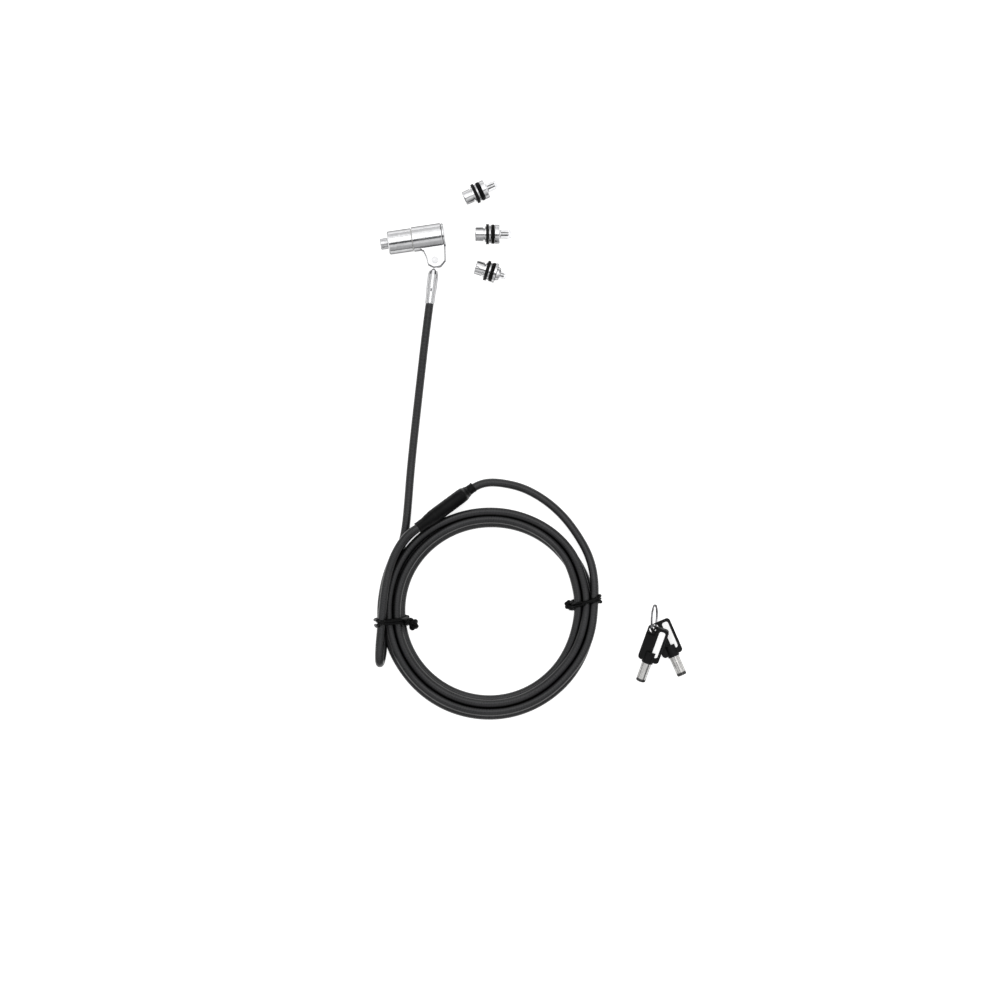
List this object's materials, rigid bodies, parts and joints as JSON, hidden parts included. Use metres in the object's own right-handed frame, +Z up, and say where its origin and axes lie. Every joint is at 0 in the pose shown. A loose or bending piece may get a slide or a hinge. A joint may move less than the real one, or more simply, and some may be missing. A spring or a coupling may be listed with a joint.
{
  "type": "laptop cable lock",
  "caption": "Keyed lock barrel with swivel collar on a hinged, coiled security cable with an eye loop, with interchangeable slot tips and tubular keys on a ring.",
  "frame": {"origin": "on the surface the set lies on, centred under the rigid pieces (lock head, tips and keys)", "axes": "+Z up from the surface; +Y from the coil towards the lock head; +X from the lock head towards the keys"},
  "size_m": [0.2083, 0.3597, 0.0177],
  "materials": {
    "satin_zinc": "polished nickel-chrome plated zinc",
    "bright_steel": "turned bright steel",
    "brass": "turned brass",
    "spring_steel": "bare spring wire",
    "cable_jacket": "smooth soft vinyl, slightly see-through over steel braid",
    "heat_shrink": "matte heat-shrink tube",
    "tie_plastic": "soft plastic over wire",
    "black_rubber": "moulded rubber",
    "bow_plastic": "moulded black plastic",
    "key_nickel": "nickel-plated tube",
    "label_plastic": "white moulded insert",
    "nylon": "natural nylon",
    "aluminium": "pressed aluminium"
  },
  "bodies": {
    "cable": {"cable_ferrule": "satin_zinc", "cable_lead": "cable_jacket", "cable_coil": "cable_jacket", "cable_tail": "cable_jacket", "cable_loop": "cable_jacket", "loop_sleeve": "heat_shrink", "loop_ferrule": "aluminium", "twist_tie_left": "tie_plastic", "twist_tie_right": "tie_plastic"},
    "collar": {"swivel_collar": "satin_zinc", "hinge_pin": "bright_steel"},
    "housing": {"front_housing": "satin_zinc", "swivel_washer": "nylon", "nose_bushing": "brass", "core_tube": "bright_steel", "key_face_ring": "satin_zinc", "stator": "brass", "driver_pins": "bright_steel", "pin_springs": "spring_steel", "stator_dowel": "bright_steel", "thrust_washer": "nylon"},
    "core": {"rotor": "brass", "key_pins": "bright_steel", "spindle": "bright_steel", "drive_nose": "bright_steel", "spindle_clip": "spring_steel"},
    "key_lower": {"key_lower_bow": "bow_plastic", "key_lower_tube": "key_nickel", "key_lower_label": "label_plastic"},
    "key_upper": {"key_upper_bow": "bow_plastic", "key_upper_tube": "key_nickel", "key_upper_label": "label_plastic"},
    "ring": {"key_ring": "bright_steel"},
    "tip_standard": {"tip_standard_socket": "satin_zinc", "tip_standard_thumb_ring": "bow_plastic", "tip_standard_backing_washer": "bright_steel", "tip_standard_washer": "black_rubber", "tip_standard_face_plate": "satin_zinc", "tip_standard_prongs": "bright_steel"},
    "tip_standard_head": {"tip_standard_turn_head": "bright_steel"},
    "tip_mini": {"tip_mini_socket": "satin_zinc", "tip_mini_thumb_ring": "bow_plastic", "tip_mini_backing_washer": "bright_steel", "tip_mini_washer": "black_rubber", "tip_mini_face_plate": "satin_zinc", "tip_mini_prongs": "bright_steel"},
    "tip_mini_head": {"tip_mini_turn_head": "bright_steel"},
    "tip_wedge": {"tip_wedge_socket": "satin_zinc", "tip_wedge_thumb_ring": "bow_plastic", "tip_wedge_backing_washer": "bright_steel", "tip_wedge_washer": "black_rubber", "tip_wedge_face_plate": "satin_zinc", "tip_wedge_prongs": "bright_steel"},
    "tip_wedge_head": {"tip_wedge_turn_head": "bright_steel"}
  },
  "joints": [
    {"name": "cable_hinge", "type": "hinge", "parent": "cable", "child": "collar", "pos_m": [-0.06626, 0.1144, 0.0083], "axis": [0, 0, 1], "range_deg": [-35, 55]},
    {"name": "barrel_swivel", "type": "hinge", "parent": "collar", "child": "housing", "pos_m": [-0.0788, 0.1286, 0.0083], "axis": [0.989, 0.1478, 0], "continuous": true},
    {"name": "key_turn", "type": "hinge", "parent": "housing", "child": "core", "pos_m": [-0.0788, 0.1286, 0.0083], "axis": [0.989, 0.1478, 0], "range_deg": [0, 90]},
    {"name": "tip_standard_lift", "type": "slide", "parent": "cable", "child": "tip_standard", "axis": [0, 0, 1], "range_m": [0, 0.03]},
    {"name": "tip_standard_turn", "type": "hinge", "parent": "tip_standard", "child": "tip_standard_head", "pos_m": [-0.0271, 0.132, 0.00675], "axis": [1, 0, 0], "range_deg": [0, 90]},
    {"name": "tip_mini_lift", "type": "slide", "parent": "cable", "child": "tip_mini", "axis": [0, 0, 1], "range_m": [0, 0.03]},
    {"name": "tip_mini_turn", "type": "hinge", "parent": "tip_mini", "child": "tip_mini_head", "pos_m": [-0.0355, 0.1608, 0.00675], "axis": [0.9092, 0.4163, 0], "range_deg": [0, 90]},
    {"name": "tip_wedge_lift", "type": "slide", "parent": "cable", "child": "tip_wedge", "axis": [0, 0, 1], "range_m": [0, 0.03]},
    {"name": "tip_wedge_turn", "type": "hinge", "parent": "tip_wedge", "child": "tip_wedge_head", "pos_m": [-0.0275, 0.1065, 0.00675], "axis": [0.9563, -0.2924, 0], "range_deg": [0, 90]},
    {"name": "keys_lift", "type": "slide", "parent": "cable", "child": "key_lower", "axis": [0, 0, 1], "range_m": [0, 0.03]},
    {"name": "key_swing", "type": "hinge", "parent": "key_lower", "child": "key_upper", "pos_m": [0.0789, -0.1319, 0.0119], "axis": [-0.0788, -0.2287, 0.9703], "range_deg": [-60, 0]},
    {"name": "ring_swing", "type": "hinge", "parent": "key_lower", "child": "ring", "pos_m": [0.081, -0.1309, 0.00392], "axis": [-0.2526, -0.1203, 0.9601], "range_deg": [-8, 25]}
  ]
}
